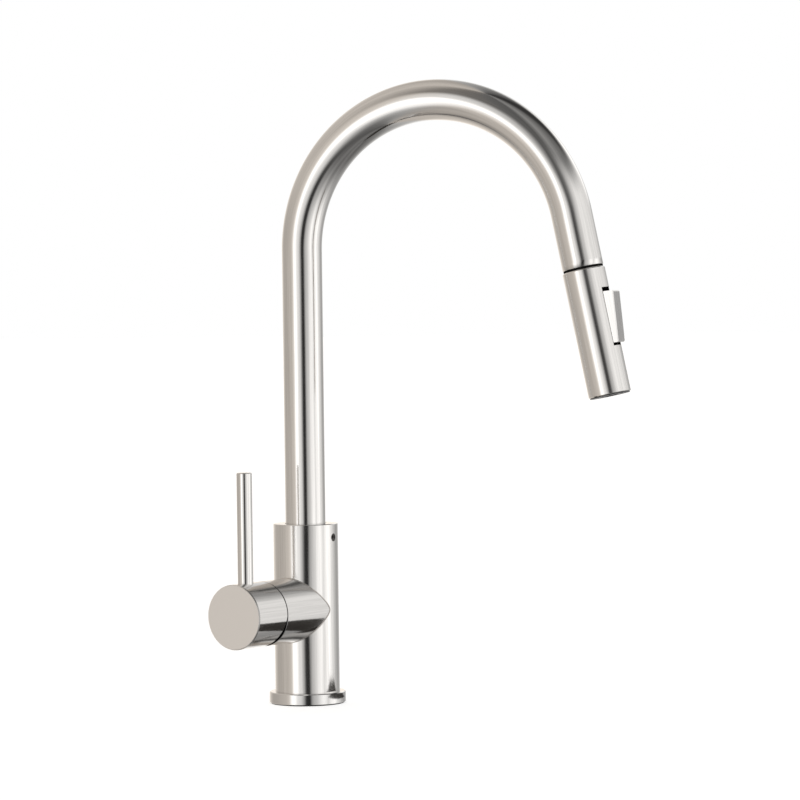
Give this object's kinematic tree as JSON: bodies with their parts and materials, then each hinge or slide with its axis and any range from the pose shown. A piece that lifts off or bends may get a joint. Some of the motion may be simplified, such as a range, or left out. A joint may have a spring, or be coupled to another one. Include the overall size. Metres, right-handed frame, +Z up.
{
  "type": "pull down kitchen faucet",
  "caption": "Deck-mounted kitchen faucet: round column, side handle with an upright rod lever, swivelling gooseneck spout, and a docking pull-down spray head on a hose.",
  "frame": {"origin": "centre of the deck hole, on the deck's top face", "axes": "+Z up along the column; +X the way the spout points at rest; the handle points towards -Y, turned 12 degrees towards -X"},
  "size_m": [0.2539, 0.1044, 0.4777],
  "materials": {
    "brushed_steel": "brushed",
    "polished_steel": "polished",
    "brass": "machined",
    "rubber": "matte",
    "black_plastic": "satin",
    "white_plastic": "satin",
    "ceramic": "lapped",
    "hose_braid": "braided"
  },
  "bodies": {
    "faucet_body": {"column_body": "brushed_steel", "side_housing": "brushed_steel", "top_collar": "brushed_steel", "lower_bush": "white_plastic", "upper_bush": "white_plastic", "spout_washer": "white_plastic", "lock_screw": "polished_steel", "base_ring": "polished_steel", "base_gasket": "rubber", "shank": "brass", "rubber_washer": "rubber", "steel_washer": "polished_steel", "mounting_nut": "brass", "valve_block": "brass", "outlet_pipe": "brass", "hot_port_seal": "rubber", "cold_port_seal": "rubber", "outlet_port_seal": "rubber", "cartridge_base": "white_plastic", "fixed_disc": "ceramic", "cartridge_shell": "black_plastic", "retaining_nut": "black_plastic", "hose_in_body": "hose_braid", "hose_tail": "brass"},
    "rotor": {"cartridge_rotor": "white_plastic", "pivot_pin": "polished_steel"},
    "disc": {"moving_disc": "ceramic", "disc_carrier": "white_plastic"},
    "handle": {"stem": "polished_steel", "handle_cap": "brushed_steel", "lever_rod": "brushed_steel", "handle_screw": "polished_steel"},
    "spout": {"spout_tube": "brushed_steel", "spout_foot": "brass", "dock_insert": "black_plastic", "dock_gasket": "rubber", "hose_in_spout": "hose_braid"},
    "connector": {"hose_end": "hose_braid", "hose_ferrule": "polished_steel", "hose_coupling": "brass", "check_valve": "white_plastic"},
    "spray_head": {"spray_shell": "brushed_steel", "core_nose": "black_plastic", "head_core": "white_plastic", "coupling_seal": "rubber", "rocker_tray": "black_plastic", "rocker_pin": "polished_steel", "nozzle_pad": "rubber", "face_plate": "black_plastic", "aerator": "white_plastic"},
    "rocker": {"rocker_button": "brushed_steel"},
    "spool": {"diverter_spool": "white_plastic", "spool_seal_inner": "rubber", "spool_seal_middle": "rubber", "spool_seal_outer": "rubber"}
  },
  "joints": [
    {"name": "spout_swivel", "type": "hinge", "parent": "faucet_body", "child": "spout", "pos_m": [0, 0, 0.1], "axis": [0, 0, 1], "continuous": true},
    {"name": "temperature", "type": "hinge", "parent": "faucet_body", "child": "rotor", "pos_m": [0, 0, 0.06], "axis": [-0.2079, -0.9781, 0], "range_deg": [-45, 45]},
    {"name": "flow_tilt", "type": "hinge", "parent": "rotor", "child": "handle", "pos_m": [-0.00821, -0.03864, 0.06], "axis": [0.9781, -0.2079, 0], "range_deg": [0, 12]},
    {"name": "disc_slide", "type": "slide", "parent": "rotor", "child": "disc", "axis": [0, 0, 1], "range_m": [0, 0.00126]},
    {"name": "spray_pull", "type": "slide", "parent": "spout", "child": "connector", "axis": [0.2079, 0, -0.9781], "range_m": [0, 0.19], "stiffness_N_per_m": 4, "springref_m": -1},
    {"name": "head_spin", "type": "hinge", "parent": "connector", "child": "spray_head", "pos_m": [0.18927, 0, 0.27189], "axis": [0.2079, 0, -0.9781], "continuous": true},
    {"name": "rocker_press", "type": "hinge", "parent": "spray_head", "child": "rocker", "pos_m": [0.20368, 0, 0.24255], "axis": [0, -1, 0], "range_deg": [0, 12]},
    {"name": "spool_slide", "type": "slide", "parent": "spray_head", "child": "spool", "axis": [0.9781, 0, 0.2079], "range_m": [0, 0.0021]}
  ],
  "couplings": [
    {"joint": "disc_slide", "follows": "flow_tilt", "m_per_rad": 0.0059},
    {"joint": "spool_slide", "follows": "rocker_press", "m_per_rad": 0.01}
  ]
}
